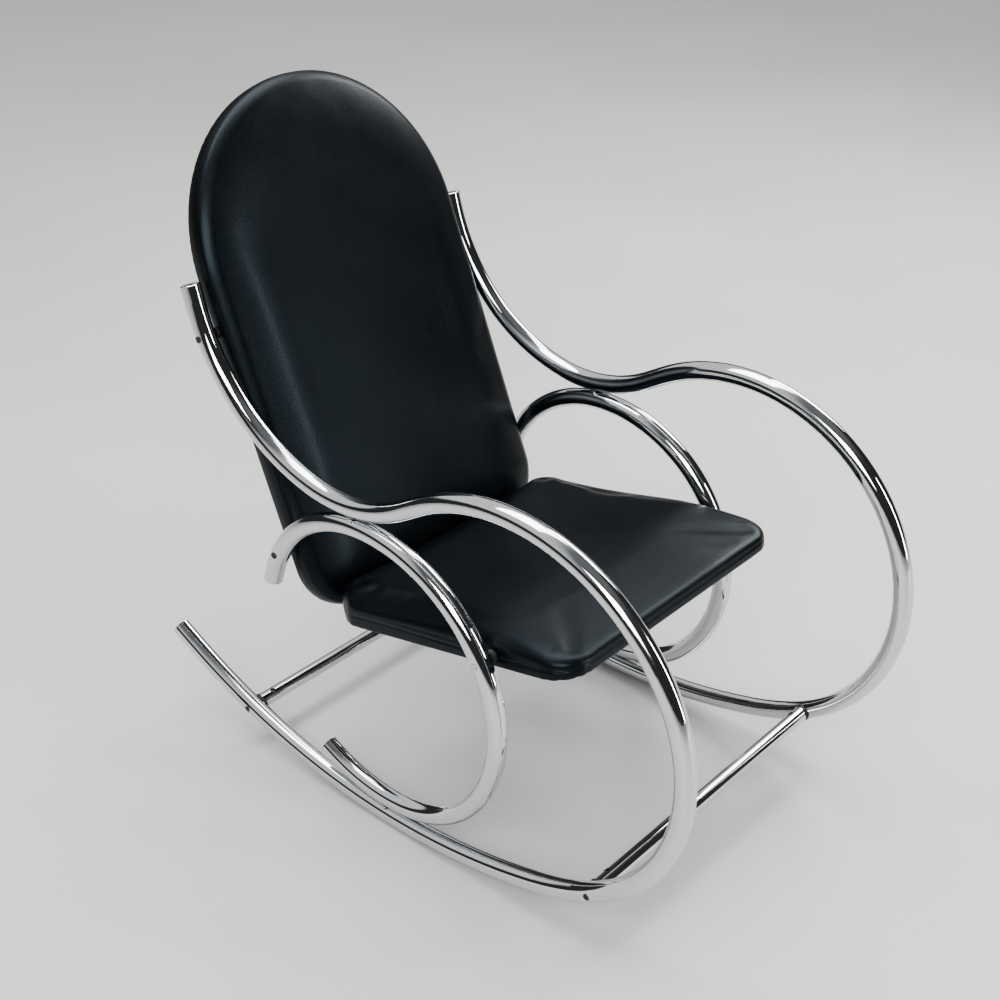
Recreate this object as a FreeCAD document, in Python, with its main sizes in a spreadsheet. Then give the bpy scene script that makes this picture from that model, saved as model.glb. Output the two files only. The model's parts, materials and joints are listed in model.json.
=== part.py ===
"""Rocking chair of bent chromed tube with an upholstered back pad and seat pad.

The frame is millimetres with +Z up. The sitter faces -Y, X runs across the chair, and the
origin is on the floor, midway between the two side frames. Each side frame lies in its own
plane of constant X and is made of two tubes bent in that plane.
"""
import FreeCAD, Part
import math
import os

import Sketcher

# ---- driving dimensions -------------------------------------------------------------------

ARM_BENDS = (
    ("straight", 20.0),
    ("right", 265.0, 60.7),
    ("right", 210.0, 43.75),
    ("straight", 30.0),
    ("left", 253.0, 85.35),
    ("left", 240.0, 100.1),
    ("left", 400.0, 8.9),
    ("left", 850.0, 43.7),
    ("straight", 30.0),
)
LOOP_BENDS = (
    ("straight", 15.0),
    ("left", 178.0, 68.5),
    ("left", 210.0, 38.6),
    ("left", 200.0, 94.45),
    ("left", 162.0, 41.8),
    ("left", 235.0, 33.05),
    ("straight", 15.0),
)

SIZES = {
    # side frames
    "tube_diameter": 25.4,
    "tube_wall": 2.4,
    "frame_spacing": 467.0,
    "arm_start_y": 340.05,
    "arm_start_z": 658.12,
    "arm_start_heading": 106.6,
    "loop_start_y": 221.93,
    "loop_start_z": 290.15,
    "loop_start_heading": 107.95,
    "plug_flange": 1.6,
    "plug_spigot": 14.0,
    "plug_clearance": 0.1,
    "bead_radius": 2.3,
    "bead_length": 7.0,
    "bead_offset": 8.0,
    # places of the fasteners, measured along a tube from its free upper end
    "upper_screw_along": 65.0,
    "lower_screw_along": 49.0,
    "seat_screw_along": 457.6,
    "front_bolt_along": 1261.3,
    "rear_bolt_along": 1867.7,
    # cross tubes
    "stretcher_diameter": 20.6,
    "stretcher_wall": 1.6,
    "saddle_clearance": 0.35,
    "saddle_washer_thickness": 2.4,
    "saddle_washer_diameter": 23.0,
    "dowel_diameter": 8.0,
    "dowel_length": 15.0,
    "dowel_setback": 17.0,
    # screws
    "screw_diameter": 6.0,
    "screw_clearance": 0.3,
    "head_diameter": 8.6,
    "head_height": 2.4,
    "head_recess": 1.3,
    "bolt_head_height": 1.2,
    "slot_width": 1.3,
    "slot_depth": 0.9,
    "insert_diameter": 9.6,
    "insert_length": 20.0,
    "back_spacer_diameter": 14.0,
    "seat_bush_diameter": 17.0,
    "spacer_clearance": 0.1,
    # upholstery
    "skin": 1.6,
    "fit_gap": 0.2,
    "wrap_width": 34.0,
    # back pad, placed by the middle of its lower rear edge
    "back_y": 175.52,
    "back_z": 233.54,
    "back_recline": 22.8,
    "back_half_width": 216.0,
    "back_length": 668.0,
    "back_thickness": 46.0,
    "back_corner": 70.0,
    "back_front_round": 17.0,
    "back_rear_round": 8.0,
    "back_board_thickness": 18.0,
    "back_rail_width": 52.0,
    "back_panel_inset": 14.0,
    "back_panel_thickness": 2.4,
    # seat pad, placed by a point on its underside
    "seat_y": -19.44,
    "seat_z": 283.58,
    "seat_tilt": 12.3,
    "seat_half_width": 214.0,
    "seat_front": 234.0,
    "seat_rear": 163.0,
    "seat_thickness": 46.5,
    "seat_front_corner": 42.0,
    "seat_rear_corner": 38.0,
    "seat_top_round": 12.0,
    "seat_bottom_round": 5.0,
    "seat_board_thickness": 20.0,
    "seat_bevel_length": 38.0,
    "seat_bevel_height": 15.0,
    "waterfall_start": 110.0,
    "waterfall_radius": 355.0,
    "seat_cloth_inset": 18.0,
    "seat_cloth_thickness": 0.8,
    "staple_width": 10.0,
    "staple_wire": 0.9,
    "staple_pitch": 44.0,
    # plates joining the seat to the foot of the back
    "plate_x": 125.0,
    "plate_width": 28.0,
    "plate_thickness": 3.0,
    "plate_seat_leg": 78.0,
    "plate_back_leg": 41.0,
    "plate_gap": 1.3,
    "wood_screw_diameter": 4.5,
    "wood_screw_length": 19.0,
    "wood_screw_head": 8.5,
    "wood_screw_head_height": 2.2,
}


class Size:
    """A length or angle as a number, together with the expression that gives it."""

    def __init__(self, number, text=None):
        self.number = float(number)
        self.text = repr(self.number) if text is None else text

    def _joined(self, other, sign, number):
        other = as_size(other)
        return Size(number(self.number, other.number), f"({self.text} {sign} {other.text})")

    def __add__(self, other):
        return self._joined(other, "+", lambda a, b: a + b)

    def __sub__(self, other):
        return self._joined(other, "-", lambda a, b: a - b)

    def __mul__(self, other):
        return self._joined(other, "*", lambda a, b: a * b)

    def __truediv__(self, other):
        return self._joined(other, "/", lambda a, b: a / b)

    def __neg__(self):
        return Size(-self.number, f"(-{self.text})")


def as_size(value):
    return value if isinstance(value, Size) else Size(value)


def tangent(angle):
    return Size(math.tan(math.radians(angle.number)), f"tan({angle.text} * 1 deg)")


def bend_sizes(prefix, bends):
    """Aliases and numbers of one tube's bending table."""
    sizes = {}
    for step, bend in enumerate(bends, start=1):
        if bend[0] == "straight":
            sizes[f"{prefix}_length_{step}"] = bend[1]
        else:
            sizes[f"{prefix}_radius_{step}"] = bend[1]
            sizes[f"{prefix}_sweep_{step}"] = bend[2]
    return sizes


SIZES.update(bend_sizes("arm", ARM_BENDS))
SIZES.update(bend_sizes("loop", LOOP_BENDS))


def size(alias):
    return Size(SIZES[alias], f"Sizes.{alias}")


def fill_sheet(doc):
    """Put every driving dimension in the sheet under its own alias."""
    sheet = doc.addObject("Spreadsheet::Sheet", "Sizes")
    for row, (alias, number) in enumerate(SIZES.items(), start=1):
        sheet.set(f"A{row}", alias)
        sheet.set(f"B{row}", str(number))
        sheet.setAlias(f"B{row}", alias)
    doc.recompute()


# ---- bodies, sketches and features --------------------------------------------------------


def bind(thing, path, value):
    thing.setExpression(path, as_size(value).text)


def new_body(doc, label, place=None):
    body = doc.addObject("PartDesign::Body", label)
    body.Label = label
    body.AllowCompound = True
    if place is not None:
        place(body)
    return body


def origin_plane(body, role):
    return next(item for item in body.Origin.OriginFeatures if item.Role == role)


def new_sketch(body, name, role, shift=(0, 0, 0), turn=0):
    """A sketch on one of the body's planes, shifted, and turned about the plane's own X."""
    sketch = body.newObject("Sketcher::SketchObject", name)
    sketch.AttachmentSupport = [(origin_plane(body, role), "")]
    sketch.MapMode = "FlatFace"
    turn = as_size(turn)
    rotation = FreeCAD.Rotation(FreeCAD.Vector(1, 0, 0), 1.0)
    sketch.AttachmentOffset = FreeCAD.Placement(FreeCAD.Vector(), rotation)
    for axis, value in zip("xyz", shift):
        bind(sketch, f".AttachmentOffset.Base.{axis}", value)
    bind(sketch, ".AttachmentOffset.Rotation.Angle", turn)
    return sketch


def dimension(sketch, kind, places, value):
    """Add one driving constraint bound to the sheet. Angles are in degrees."""
    value = as_size(value)
    if kind == "Angle":
        start, text = math.radians(value.number), f"{value.text} * 1 deg"
    else:
        start, text = value.number, value.text
    index = sketch.addConstraint(Sketcher.Constraint(kind, *places, start))
    sketch.setExpression(f"Constraints[{index}]", text)


def fix_point(sketch, geometry, point, across, along):
    """Hold a point at sketch coordinates; a coordinate given as None lies on that axis."""
    if across is None and along is None:
        sketch.addConstraint(Sketcher.Constraint("Coincident", geometry, point, -1, 1))
        return
    if across is None:
        sketch.addConstraint(Sketcher.Constraint("PointOnObject", geometry, point, -2))
    else:
        dimension(sketch, "DistanceX", (-1, 1, geometry, point), across)
    if along is None:
        sketch.addConstraint(Sketcher.Constraint("PointOnObject", geometry, point, -1))
    else:
        dimension(sketch, "DistanceY", (-1, 1, geometry, point), along)


def vector(across, along):
    return FreeCAD.Vector(0 if across is None else as_size(across).number,
                          0 if along is None else as_size(along).number, 0)


def add_polygon(sketch, corners):
    """A closed outline of straight lines through corners given as (across, along)."""
    first = sketch.GeometryCount
    count = len(corners)
    for index, corner in enumerate(corners):
        following = corners[(index + 1) % count]
        sketch.addGeometry(Part.LineSegment(vector(*corner), vector(*following)), False)
    for index, corner in enumerate(corners):
        following = first + (index + 1) % count
        sketch.addConstraint(Sketcher.Constraint("Coincident", first + index, 2, following, 1))
        fix_point(sketch, first + index, 1, *corner)


def add_circle(sketch, radius, across=None, along=None):
    radius = as_size(radius)
    circle = Part.Circle(vector(across, along), FreeCAD.Vector(0, 0, 1), radius.number)
    index = sketch.addGeometry(circle, False)
    fix_point(sketch, index, 3, across, along)
    dimension(sketch, "Radius", (index,), radius)


def pad(body, sketch, length, symmetric=False, reversed_way=False):
    feature = body.newObject("PartDesign::Pad", f"{sketch.Name}_pad")
    feature.Profile = sketch
    feature.SideType = "Symmetric" if symmetric else "One side"
    feature.Reversed = reversed_way
    bind(feature, "Length", length)
    return feature


def pocket(body, sketch, length=None, symmetric=False, reversed_way=False):
    """Cut a sketch's outline; with no length it cuts through everything both ways."""
    feature = body.newObject("PartDesign::Pocket", f"{sketch.Name}_pocket")
    feature.Profile = sketch
    if length is None:
        feature.SideType = "Symmetric"
        feature.Type = "ThroughAll"
    else:
        feature.SideType = "Symmetric" if symmetric else "One side"
        feature.Reversed = reversed_way
        bind(feature, "Length", length)
    return feature


def revolve(body, sketch, axis):
    feature = body.newObject("PartDesign::Revolution", f"{sketch.Name}_turned")
    feature.Profile = sketch
    feature.ReferenceAxis = (sketch, [axis])
    feature.Angle = 360.0
    return feature


def round_edges(body, base, radius, chosen):
    """Fillet those edges of the feature for which chosen(edge) holds."""
    body.Document.recompute()
    names = [f"Edge{i}" for i, edge in enumerate(base.Shape.Edges, start=1) if chosen(edge)]
    feature = body.newObject("PartDesign::Fillet", f"{base.Name}_round")
    feature.Base = (base, names)
    bind(feature, "Radius", radius)
    return feature


def mirror_across(body, originals):
    """Repeat features on the other side of the chair's middle plane."""
    body.Document.recompute()
    feature = body.newObject("PartDesign::Mirrored", f"{body.Name}_mirrored")
    feature.Originals = originals
    feature.MirrorPlane = (origin_plane(body, "YZ_Plane"), [""])
    body.Tip = feature


def boolean(doc, kind, label, base, tool):
    result = doc.addObject(f"Part::{kind}", label)
    result.Label = label
    result.Base = base
    result.Tool = tool
    return result


# ---- bent tubes ---------------------------------------------------------------------------


class Spot:
    """A place on a tube's centre line, with the direction of travel in degrees."""

    def __init__(self, y, z, heading):
        self.y = y
        self.z = z
        self.heading = heading

    def moved(self, bend, length=None):
        """The spot at the end of one bend, or length millimetres into it."""
        angle = math.radians(self.heading)
        if bend[0] == "straight":
            reach = bend[1] if length is None else length
            return Spot(self.y + reach * math.cos(angle), self.z + reach * math.sin(angle),
                        self.heading)
        side = 1 if bend[0] == "left" else -1
        sweep = math.radians(bend[2]) if length is None else length / bend[1]
        centre = self.centre(bend)
        outward = angle - side * math.pi / 2 + side * sweep
        return Spot(centre.x + bend[1] * math.cos(outward), centre.y + bend[1] * math.sin(outward),
                    self.heading + side * math.degrees(sweep))

    def centre(self, bend):
        """Centre of the bend that starts here, in the plane of the tube."""
        side = 1 if bend[0] == "left" else -1
        angle = math.radians(self.heading + side * 90)
        return FreeCAD.Vector(self.y + bend[1] * math.cos(angle), self.z + bend[1] * math.sin(angle), 0)


def bend_length(bend):
    return bend[1] if bend[0] == "straight" else bend[1] * math.radians(bend[2])


def start_spot(prefix, way):
    return Spot(SIZES[f"{prefix}_start_y"], SIZES[f"{prefix}_start_z"],
                way * SIZES[f"{prefix}_start_heading"])


ARM_START = start_spot("arm", -1)
LOOP_START = start_spot("loop", 1)


def spot_along(start, bends, distance):
    """The spot a distance along a tube from its start."""
    for bend in bends:
        if distance <= bend_length(bend):
            return start.moved(bend, distance)
        distance -= bend_length(bend)
        start = start.moved(bend)
    return start


def draw_path(sketch, prefix, start, bends):
    """The centre line as tangent lines and arcs, held by its bending table."""
    spot = start
    previous_end = None
    for step, bend in enumerate(bends, start=1):
        following = spot.moved(bend)
        if bend[0] == "straight":
            line = Part.LineSegment(FreeCAD.Vector(spot.y, spot.z, 0),
                                    FreeCAD.Vector(following.y, following.z, 0))
            index = sketch.addGeometry(line, False)
            first_point, last_point = 1, 2
        else:
            side = 1 if bend[0] == "left" else -1
            angles = sorted(math.radians(a - side * 90) for a in (spot.heading, following.heading))
            circle = Part.Circle(spot.centre(bend), FreeCAD.Vector(0, 0, 1), bend[1])
            index = sketch.addGeometry(Part.ArcOfCircle(circle, *angles), False)
            first_point, last_point = (1, 2) if side > 0 else (2, 1)
        if previous_end is None:
            dimension(sketch, "DistanceX", (-1, 1, index, 1), size(f"{prefix}_start_y"))
            dimension(sketch, "DistanceY", (-1, 1, index, 1), size(f"{prefix}_start_z"))
            way = size(f"{prefix}_start_heading")
            dimension(sketch, "Angle", (index,), way if start.heading > 0 else -way)
        else:
            sketch.addConstraint(Sketcher.Constraint("Tangent", *previous_end, index, first_point))
        if bend[0] == "straight":
            dimension(sketch, "Distance", (index,), size(f"{prefix}_length_{step}"))
        else:
            dimension(sketch, "Radius", (index,), size(f"{prefix}_radius_{step}"))
            dimension(sketch, "Angle", (index,), size(f"{prefix}_sweep_{step}"))
        previous_end = (index, last_point)
        spot = following


def bent_tube(doc, label, prefix, start, bends, side, screw_spots):
    """One hollow tube of a side frame, drilled for its screws."""
    tube_radius = size("tube_diameter") / 2
    half_spacing = size("frame_spacing") / 2
    body = new_body(doc, label)
    bind(body, ".Placement.Base.x", half_spacing if side > 0 else -half_spacing)
    path = new_sketch(body, f"{label}_path", "YZ_Plane")
    draw_path(path, prefix, start, bends)
    way = size(f"{prefix}_start_heading")
    ring = new_sketch(body, f"{label}_ring", "XY_Plane",
                      (0, size(f"{prefix}_start_y"), size(f"{prefix}_start_z")),
                      (way if start.heading > 0 else -way) - 90)
    add_circle(ring, tube_radius)
    add_circle(ring, tube_radius - size("tube_wall"))
    pipe = body.newObject("PartDesign::AdditivePipe", f"{label}_pipe")
    pipe.Profile = ring
    pipe.Spine = path
    holes = new_sketch(body, f"{label}_holes", "YZ_Plane")
    recesses = new_sketch(body, f"{label}_recesses", "YZ_Plane",
                          (0, 0, (tube_radius - size("head_recess")) * side))
    for spot in screw_spots:
        add_circle(holes, size("screw_diameter") / 2 + size("screw_clearance"), spot.y, spot.z)
        add_circle(recesses, size("head_diameter") / 2 + size("screw_clearance"), spot.y, spot.z)
    pocket(body, holes)
    pocket(body, recesses, tube_radius, reversed_way=side > 0)
    return body


# ---- turned pieces ------------------------------------------------------------------------


def turned_across(body, name, spot, outline):
    """Turn an outline of (across, radius) about the X-wise axis through a spot."""
    sketch = new_sketch(body, name, "XY_Plane", (0, spot.y, spot.z))
    add_polygon(sketch, outline)
    return revolve(body, sketch, "H_Axis")


def turned_along(body, name, across, spot, outline):
    """Turn an outline of (radius, distance) about the axis along a spot's heading."""
    sketch = new_sketch(body, name, "XY_Plane", (across, spot.y, spot.z), spot.heading)
    add_polygon(sketch, outline)
    return revolve(body, sketch, "V_Axis")


def ring_outline(inner_end, outer_end, inner_radius, outer_radius):
    return [(inner_end, inner_radius), (outer_end, inner_radius),
            (outer_end, outer_radius), (inner_end, outer_radius)]


def screw_outline(tip, seat, head_top):
    """Half section of a cheese-head screw lying along X."""
    shank = size("screw_diameter") / 2
    head = size("head_diameter") / 2
    chamfer = shank / 4
    return [(tip, None), (tip + chamfer, shank), (seat, shank), (seat, head),
            (head_top - chamfer / 2, head), (head_top, head - chamfer / 2), (head_top, None)]


def screw_group(doc, label, spots, tip, seat, head_height):
    """Slotted screws on both sides of the chair, heads outwards."""
    body = new_body(doc, label)
    head_top = seat + head_height
    made = []
    for number, spot in enumerate(spots, start=1):
        outline = screw_outline(tip, seat, head_top)
        made.append(turned_across(body, f"{label}_{number}", spot, outline))
        slot = new_sketch(body, f"{label}_slot_{number}", "XY_Plane", (0, spot.y, spot.z),
                          spot.heading)
        half = size("slot_width") / 2
        reach = size("head_diameter")
        add_polygon(slot, [(head_top - size("slot_depth"), -half), (head_top + 1, -half),
                           (head_top + 1, half), (head_top - size("slot_depth"), half)])
        made.append(pocket(body, slot, reach * 2, symmetric=True))
    mirror_across(body, made)
    return body


def ring_group(doc, label, spots, inner_end, outer_end, inner_radius, outer_radius):
    """Plain round rings or sleeves on both sides of the chair."""
    body = new_body(doc, label)
    outline = ring_outline(inner_end, outer_end, inner_radius, outer_radius)
    made = [turned_across(body, f"{label}_{number}", spot, outline)
            for number, spot in enumerate(spots, start=1)]
    mirror_across(body, made)
    return body


def end_plugs(doc, ends):
    """Domed caps with a spigot, one in each free tube end."""
    body = new_body(doc, "tube_end_plugs")
    outer = size("tube_diameter") / 2
    bore = outer - size("tube_wall") - size("plug_clearance")
    flange = size("plug_flange")
    edge = flange / 2
    outline = [(None, -size("plug_spigot")), (bore, -size("plug_spigot")), (bore, size("plug_clearance")),
               (outer, size("plug_clearance")), (outer, edge), (outer - edge, flange), (None, flange + 0.5)]
    across = size("frame_spacing") / 2
    made = [turned_along(body, f"plug_{number}", across, end, outline)
            for number, end in enumerate(ends, start=1)]
    mirror_across(body, made)
    return body


def joint_beads(doc, contacts):
    """Small brazed beads in the grooves on both faces of each place where two tubes meet."""
    body = new_body(doc, "loop_joint_beads")
    radius = size("bead_radius")
    half = size("bead_length") / 2
    outline = [(None, -half), (radius, -(half - radius / 2)), (radius, half - radius / 2), (None, half)]
    made = []
    for number, contact in enumerate(contacts, start=1):
        for way in (-1, 1):
            across = size("frame_spacing") / 2 + size("bead_offset") * way
            name = f"bead_{number}_{'inner' if way < 0 else 'outer'}"
            made.append(turned_along(body, name, across, contact, outline))
    mirror_across(body, made)
    return body


# ---- cross tubes --------------------------------------------------------------------------


def stretcher(doc, label, spot):
    """A cross tube with saddle-cut ends and a cross hole near each end."""
    body = new_body(doc, label)
    radius = size("stretcher_diameter") / 2
    half_spacing = size("frame_spacing") / 2
    section = new_sketch(body, f"{label}_section", "YZ_Plane")
    add_circle(section, radius, spot.y, spot.z)
    add_circle(section, radius - size("stretcher_wall"), spot.y, spot.z)
    pad(body, section, size("frame_spacing"), symmetric=True)
    saddle_radius = (size("tube_diameter") / 2 + size("saddle_clearance") * 2
                     + size("saddle_washer_thickness"))
    saddles = new_sketch(body, f"{label}_saddles", "XY_Plane", (0, spot.y, spot.z), spot.heading - 90)
    holes = new_sketch(body, f"{label}_dowel_holes", "XY_Plane", (0, spot.y, spot.z), spot.heading)
    hole_x = dowel_across()
    for side in (-1, 1):
        add_circle(saddles, saddle_radius, half_spacing * side)
        add_circle(holes, size("dowel_diameter") / 2, hole_x * side)
    pocket(body, saddles, radius * 4, symmetric=True)
    pocket(body, holes, radius * 2, reversed_way=True)
    return body


def dowel_across():
    return (size("frame_spacing") - size("tube_diameter")) / 2 - size("saddle_washer_thickness") \
        - size("dowel_setback")


def cylinder(doc, name, radius, length, place):
    solid = doc.addObject("Part::Cylinder", name)
    bind(solid, "Radius", radius)
    bind(solid, "Height", length)
    solid.Placement = place
    return solid


def lengthwise(across, spot, heading, length):
    """Placement of a cylinder centred on a spot and lying along a heading in the YZ plane."""
    turn = FreeCAD.Rotation(FreeCAD.Vector(1, 0, 0), heading - 90)
    centre = FreeCAD.Vector(across, spot.y, spot.z)
    return FreeCAD.Placement(centre - turn.multVec(FreeCAD.Vector(0, 0, length / 2)), turn)


def crosswise(start_x, spot):
    """Placement of a cylinder that runs towards +X from start_x through a spot."""
    turn = FreeCAD.Rotation(FreeCAD.Vector(0, 1, 0), 90)
    return FreeCAD.Placement(FreeCAD.Vector(start_x, spot.y, spot.z), turn)


def saddle_washer(doc, name, spot):
    """A washer curved to the runner on one side and to the stretcher's saddle on the other."""
    half_spacing = SIZES["frame_spacing"] / 2
    inner = size("tube_diameter") / 2 + size("saddle_clearance")
    outer = inner + size("saddle_washer_thickness")
    reach = SIZES["tube_diameter"]
    along = lengthwise(half_spacing, spot, spot.heading, 2 * reach)
    shell = boolean(doc, "Cut", f"{name}_shell",
                    cylinder(doc, f"{name}_shell_outer", outer, 2 * reach, along),
                    cylinder(doc, f"{name}_shell_inner", inner, 2 * reach, along))
    across = crosswise(half_spacing - reach, spot)
    bore = size("screw_diameter") / 2 + size("screw_clearance")
    ring = boolean(doc, "Cut", f"{name}_ring",
                   cylinder(doc, f"{name}_ring_outer", size("saddle_washer_diameter") / 2, reach, across),
                   cylinder(doc, f"{name}_ring_bore", bore, reach, across))
    return boolean(doc, "Common", name, ring, shell)


def saddle_washers(doc, spots):
    """The four washers at the ends of the cross tubes."""
    pieces = []
    for number, spot in enumerate(spots, start=1):
        washer = saddle_washer(doc, f"saddle_washer_{number}", spot)
        opposite = doc.addObject("Part::Mirroring", f"saddle_washer_{number}_opposite")
        opposite.Source = washer
        opposite.Normal = FreeCAD.Vector(1, 0, 0)
        pieces += [washer, opposite]
    group = doc.addObject("Part::Compound", "stretcher_washers")
    group.Label = "stretcher_washers"
    group.Links = pieces
    return group


def barrel_nuts(doc, spots):
    """Cross dowels inside the stretchers, drilled for the bolts."""
    body = new_body(doc, "stretcher_barrel_nuts")
    half = size("dowel_length") / 2
    radius = size("dowel_diameter") / 2 - size("screw_clearance")
    across = dowel_across()
    made = []
    for number, spot in enumerate(spots, start=1):
        upright = Spot(spot.y, spot.z, spot.heading + 90)
        outline = [(None, -half), (radius, -half), (radius, half), (None, half)]
        made.append(turned_along(body, f"nut_{number}", across, upright, outline))
        bore = new_sketch(body, f"nut_bore_{number}", "YZ_Plane", (0, 0, across))
        add_circle(bore, size("screw_diameter") / 2 + size("spacer_clearance"), spot.y, spot.z)
        made.append(pocket(body, bore, size("dowel_diameter") * 2, symmetric=True))
    mirror_across(body, made)
    return body


# ---- back pad -----------------------------------------------------------------------------


def place_leaning(alias_y, alias_z, alias_angle):
    """Returns a function that stands a body at a point and leans it backwards."""
    def place(body):
        lean = FreeCAD.Rotation(FreeCAD.Vector(-1, 0, 0), SIZES[alias_angle])
        body.Placement = FreeCAD.Placement(FreeCAD.Vector(0, SIZES[alias_y], SIZES[alias_z]), lean)
        bind(body, ".Placement.Base.y", size(alias_y))
        bind(body, ".Placement.Base.z", size(alias_z))
        bind(body, ".Placement.Rotation.Angle", size(alias_angle))
    return place


place_back = place_leaning("back_y", "back_z", "back_recline")
place_seat = place_leaning("seat_y", "seat_z", "seat_tilt")


def local_spot(spot, alias_y, alias_z, alias_angle):
    """A spot of the side frames in a leaning pad's own coordinates."""
    angle = math.radians(SIZES[alias_angle])
    y = spot.y - SIZES[alias_y]
    z = spot.z - SIZES[alias_z]
    return Spot(y * math.cos(angle) - z * math.sin(angle), y * math.sin(angle) + z * math.cos(angle), 0)


def round_top_outline(sketch, half_width, bottom, top, corner):
    """A panel outline with a semicircular top and rounded lower corners."""
    wide, low, high, round_ = (as_size(v).number for v in (half_width, bottom, top, corner))
    normal = FreeCAD.Vector(0, 0, 1)
    shoulder = high - wide

    def arc(x, y, radius, start, end):
        circle = Part.Circle(FreeCAD.Vector(x, y, 0), normal, radius)
        return Part.ArcOfCircle(circle, math.radians(start), math.radians(end))

    def line(x_start, y_start, x_end, y_end):
        return Part.LineSegment(FreeCAD.Vector(x_start, y_start, 0), FreeCAD.Vector(x_end, y_end, 0))

    first = sketch.GeometryCount
    sketch.addGeometry([
        line(round_ - wide, low, wide - round_, low),
        arc(wide - round_, low + round_, round_, 270, 360),
        line(wide, low + round_, wide, shoulder),
        arc(0, shoulder, wide, 0, 180),
        line(-wide, shoulder, -wide, low + round_),
        arc(round_ - wide, low + round_, round_, 180, 270),
    ], False)
    for step in range(6):
        sketch.addConstraint(Sketcher.Constraint("Tangent", first + step, 2, first + (step + 1) % 6, 1))
    sketch.addConstraint(Sketcher.Constraint("Horizontal", first))
    sketch.addConstraint(Sketcher.Constraint("Vertical", first + 2))
    sketch.addConstraint(Sketcher.Constraint("Vertical", first + 4))
    sketch.addConstraint(Sketcher.Constraint("PointOnObject", first + 3, 3, -2))
    dimension(sketch, "Radius", (first + 1,), corner)
    dimension(sketch, "Radius", (first + 5,), corner)
    dimension(sketch, "Radius", (first + 3,), half_width)
    dimension(sketch, "DistanceY", (-1, 1, first + 3, 3), as_size(top) - half_width)
    dimension(sketch, "DistanceY", (-1, 1, first, 1), bottom)


def back_slab(doc, label, inset, rear, front, front_round=None, rear_round=None):
    """A slab of the back pad's outline between two distances in front of its rear plane."""
    body = new_body(doc, label, place_back)
    sketch = new_sketch(body, f"{label}_outline", "XZ_Plane", (0, 0, rear))
    round_top_outline(sketch, size("back_half_width") - inset, as_size(inset) + 0.001,
                      size("back_length") - inset, size("back_corner") - inset)
    last = pad(body, sketch, as_size(front) - rear)
    for radius, distance in ((front_round, front), (rear_round, rear)):
        if radius is not None:
            level = -as_size(distance).number
            last = round_edges(body, last, radius, lambda edge, level=level: lies_at(edge, "Y", level))
    return body


def lies_at(edge, axis, level):
    """Whether an edge lies wholly in the plane at a level along an axis."""
    box = edge.BoundBox
    low, high = getattr(box, f"{axis}Min"), getattr(box, f"{axis}Max")
    return abs(low - level) < 0.01 and abs(high - level) < 0.01


def back_cover(doc, screw_spots, plate_spot):
    """The vinyl skin of the back, wrapped round the board's rear edge."""
    skin = size("skin")
    thickness = size("back_thickness")
    outer = back_slab(doc, "back_cover_outside", 0, 0, thickness, size("back_front_round"),
                      size("back_rear_round"))
    cavity = back_slab(doc, "back_cover_inside", skin, skin, thickness - skin,
                       size("back_front_round") - skin, size("back_rear_round") - skin)
    opening = back_slab(doc, "back_cover_opening", size("wrap_width"), -skin, skin * 3)
    hole = size("screw_diameter") / 2 + size("screw_clearance")
    reach = SIZES["frame_spacing"]
    cuts = [cavity, opening]
    for number, spot in enumerate(screw_spots, start=1):
        place = crosswise(-reach / 2, spot)
        cuts.append(cylinder(doc, f"back_cover_side_hole_{number}", hole, reach, place))
    for side in (-1, 1):
        name = f"back_cover_foot_hole_{side_name(side)}"
        place = lengthwise(side * SIZES["plate_x"], plate_spot, plate_spot.heading, 20)
        cuts.append(cylinder(doc, name, wood_screw_hole(), 20, place))
    tools = doc.addObject("Part::MultiFuse", "back_cover_cuts")
    tools.Shapes = cuts
    return boolean(doc, "Cut", "back_cover", outer, tools)


def side_name(side):
    """The sitter's side that a sign stands for."""
    return "left" if side > 0 else "right"


def side_holes(body, label, spots, edge, depth):
    """Blind holes drilled inwards from both side edges of a board."""
    for side in (-1, 1):
        name = f"{label}_holes_{side_name(side)}"
        sketch = new_sketch(body, name, "YZ_Plane", (0, 0, edge * side))
        for spot in spots:
            add_circle(sketch, size("insert_diameter") / 2 + size("spacer_clearance"), spot.y, spot.z)
        pocket(body, sketch, depth, reversed_way=side < 0)


def back_board(doc, screw_spots, plate_spot):
    """Plywood ring behind the foam, with bored edges for the threaded inserts."""
    inset = size("skin") + size("fit_gap") * 2
    rear = size("skin") + size("fit_gap")
    front = rear + size("back_board_thickness")
    body = back_slab(doc, "back_board", inset, rear, front, rear_round=size("back_rear_round") - inset)
    window = new_sketch(body, "back_board_window", "XZ_Plane", (0, 0, rear))
    rail = size("back_rail_width")
    round_top_outline(window, size("back_half_width") - rail, rail * 1.4,
                      size("back_length") - rail, rail / 2)
    pocket(body, window, size("back_board_thickness"), reversed_way=True)
    local = [local_spot(spot, "back_y", "back_z", "back_recline") for spot in screw_spots]
    side_holes(body, "back_board", local, size("back_half_width") - inset,
               size("insert_length") + size("fit_gap") * 2)
    foot = local_spot(plate_spot, "back_y", "back_z", "back_recline")
    pilots = new_sketch(body, "back_board_pilots", "XY_Plane")
    for side in (-1, 1):
        add_circle(pilots, wood_screw_hole(), size("plate_x") * side, foot.y)
    pocket(body, pilots, size("wood_screw_length"), reversed_way=True)
    return body


def back_foam(doc):
    gap = size("fit_gap")
    rear = size("skin") + gap * 2 + size("back_board_thickness")
    front = size("back_thickness") - size("skin") - gap
    inset = size("skin") + gap
    return back_slab(doc, "back_foam", inset, rear, front, size("back_front_round") - inset)


def back_panel(doc):
    """Covered panel that closes the rear of the back pad."""
    rear = -(size("back_panel_thickness") + size("fit_gap"))
    return back_slab(doc, "back_rear_panel", size("back_panel_inset"), rear, -size("fit_gap"),
                     rear_round=size("back_panel_thickness") / 3)


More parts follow.
